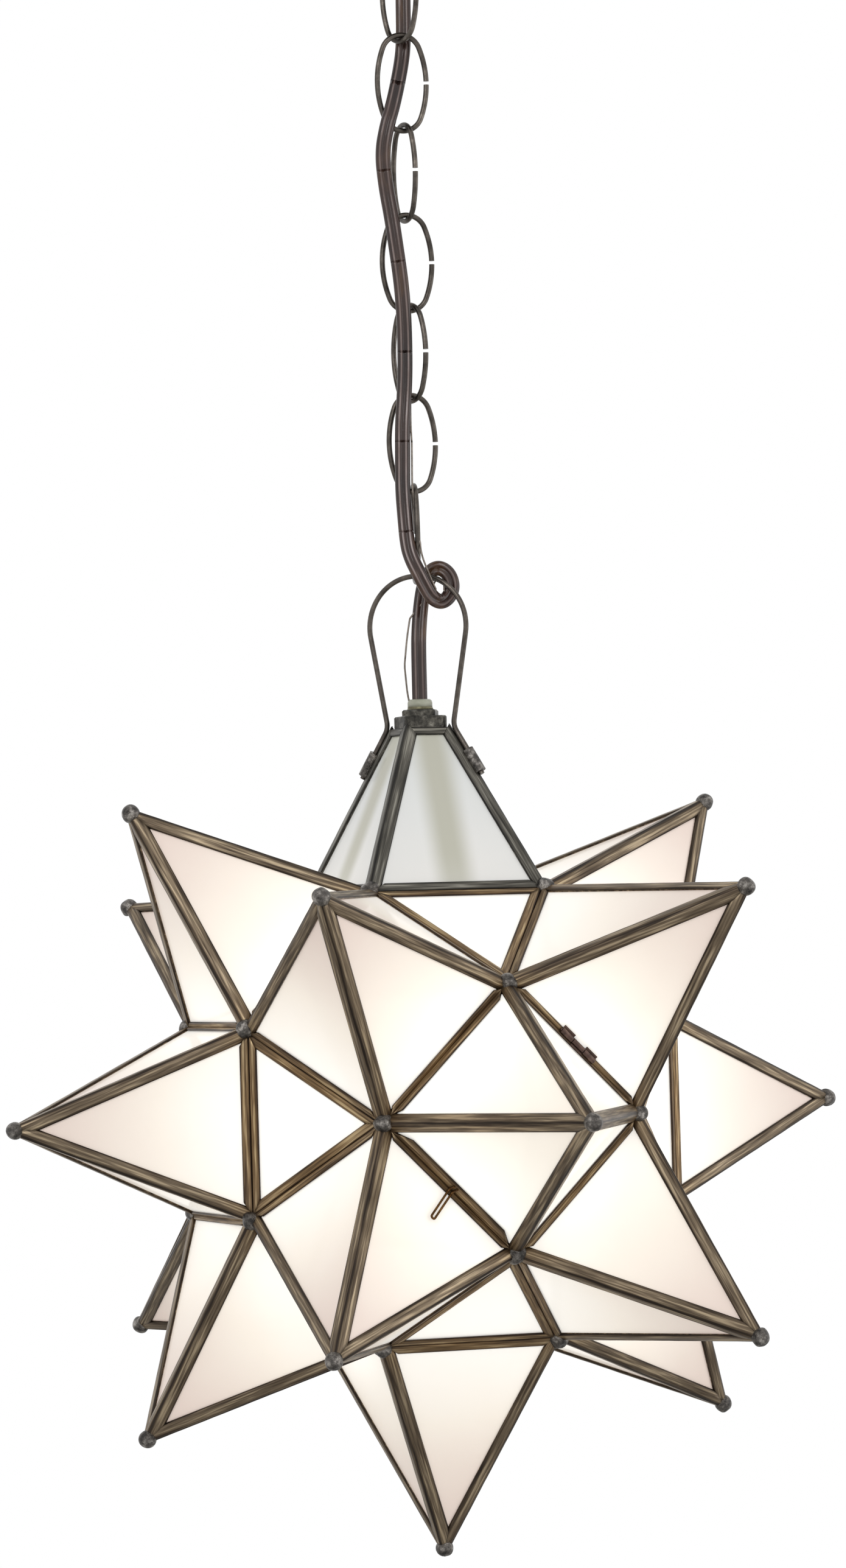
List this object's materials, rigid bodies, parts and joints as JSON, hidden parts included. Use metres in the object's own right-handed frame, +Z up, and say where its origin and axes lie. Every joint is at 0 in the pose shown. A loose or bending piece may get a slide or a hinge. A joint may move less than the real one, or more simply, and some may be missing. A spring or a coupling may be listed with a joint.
{
  "type": "moravian star pendant",
  "caption": "Many-pointed frosted glass star pendant in brass came, with a hinged lamp door, hung on an oval link chain with a woven twin cord from a ceiling canopy.",
  "frame": {"origin": "middle of the crossbar's top face, on the ceiling plane and the chain's line", "axes": "+Z up into the ceiling; the star's door spike faces -Y; +X to the right seen from the door's side"},
  "size_m": [0.3052, 0.3052, 0.6082],
  "materials": {
    "antique_brass": "aged, dark, with worn lighter streaks",
    "frosted_glass": "frosted inside, smooth outside",
    "solder": "lumpy, patinated",
    "bronze_wire": "satin, aged bronze",
    "bronze_canopy": "satin, aged bronze",
    "plain_steel": "zinc plated",
    "earth_green": "satin",
    "brass_thread": "threaded, satin",
    "porcelain": "glazed",
    "holder_brass": "satin",
    "lamp_glass": "inside frosted",
    "brown_cord": "satin, slightly translucent"
  },
  "bodies": {
    "ceiling": {"canopy": "bronze_canopy", "crossbar": "plain_steel", "earth_screw": "earth_green", "nipple": "brass_thread", "lock_nut": "plain_steel", "canopy_nut": "bronze_wire", "collar_loop": "bronze_wire", "supply_lead": "brown_cord"},
    "link_1": {"link_1": "bronze_wire", "cord_1": "brown_cord"},
    "link_2": {"link_2": "bronze_wire", "cord_2": "brown_cord"},
    "link_3": {"link_3": "bronze_wire", "cord_3": "brown_cord"},
    "link_4": {"link_4": "bronze_wire", "cord_4": "brown_cord"},
    "link_5": {"link_5": "bronze_wire", "cord_5": "brown_cord"},
    "link_6": {"link_6": "bronze_wire", "cord_6": "brown_cord"},
    "link_7": {"link_7": "bronze_wire", "cord_7": "brown_cord"},
    "star": {"bail": "bronze_wire", "bail_solder": "solder", "top_band": "antique_brass", "top_plate": "antique_brass", "stem": "brass_thread", "stem_nuts": "brass_thread", "lamp_lead": "brown_cord", "holder_cap": "holder_brass", "holder_shell": "porcelain", "insulator": "porcelain", "screw_shell": "holder_brass", "centre_contact": "holder_brass", "lamp_cap": "holder_brass", "lamp_glass": "lamp_glass", "came_top": "antique_brass", "came_upper": "antique_brass", "came_middle": "antique_brass", "came_lower": "antique_brass", "came_bottom": "antique_brass", "came_flats": "antique_brass", "glass_top": "frosted_glass", "glass_upper": "frosted_glass", "glass_middle": "frosted_glass", "glass_lower": "frosted_glass", "glass_bottom": "frosted_glass", "glass_flats": "frosted_glass", "tip_solder": "solder", "node_solder": "solder", "hinge_star": "antique_brass", "hinge_pin": "antique_brass", "cord_8": "brown_cord"},
    "door": {"came_door": "antique_brass", "glass_door": "frosted_glass", "tip_door": "solder", "hinge_door": "antique_brass", "door_pull": "bronze_wire"}
  },
  "joints": [
    {"name": "swing_1", "type": "hinge", "parent": "ceiling", "child": "link_1", "pos_m": [0, 0, -0.0524], "axis": [1, 0, 0], "range_deg": [-15, 15], "deforming": ["cord_1"]},
    {"name": "swing_2", "type": "hinge", "parent": "link_1", "child": "link_2", "pos_m": [0, 0, -0.08313], "axis": [0.3907, -0.9205, 0], "range_deg": [-15, 15], "deforming": ["cord_2"]},
    {"name": "swing_3", "type": "hinge", "parent": "link_2", "child": "link_3", "pos_m": [0, 0, -0.11453], "axis": [0.9877, -0.1564, 0], "range_deg": [-15, 15], "deforming": ["cord_3"]},
    {"name": "swing_4", "type": "hinge", "parent": "link_3", "child": "link_4", "pos_m": [0, 0, -0.14592], "axis": [0.1045, -0.9945, 0], "range_deg": [-15, 15], "deforming": ["cord_4"]},
    {"name": "swing_5", "type": "hinge", "parent": "link_4", "child": "link_5", "pos_m": [0, 0, -0.17733], "axis": [0.9703, -0.2419, 0], "range_deg": [-15, 15], "deforming": ["cord_5"]},
    {"name": "swing_6", "type": "hinge", "parent": "link_5", "child": "link_6", "pos_m": [0, 0, -0.20872], "axis": [0.342, -0.9397, 0], "range_deg": [-15, 15], "deforming": ["cord_6"]},
    {"name": "swing_7", "type": "hinge", "parent": "link_6", "child": "link_7", "pos_m": [0, 0, -0.24013], "axis": [0.9994, 0.0349, 0], "range_deg": [-15, 15], "deforming": ["cord_7"]},
    {"name": "swing_8", "type": "hinge", "parent": "link_7", "child": "star", "pos_m": [0, 0, -0.27153], "axis": [0.2419, 0.9703, 0], "range_deg": [-15, 15], "deforming": ["cord_8"]},
    {"name": "door_hinge", "type": "hinge", "parent": "star", "child": "door", "pos_m": [0.02324, -0.07936, -0.43233], "axis": [-0.7071, 0, 0.7071], "range_deg": [0, 80]}
  ]
}
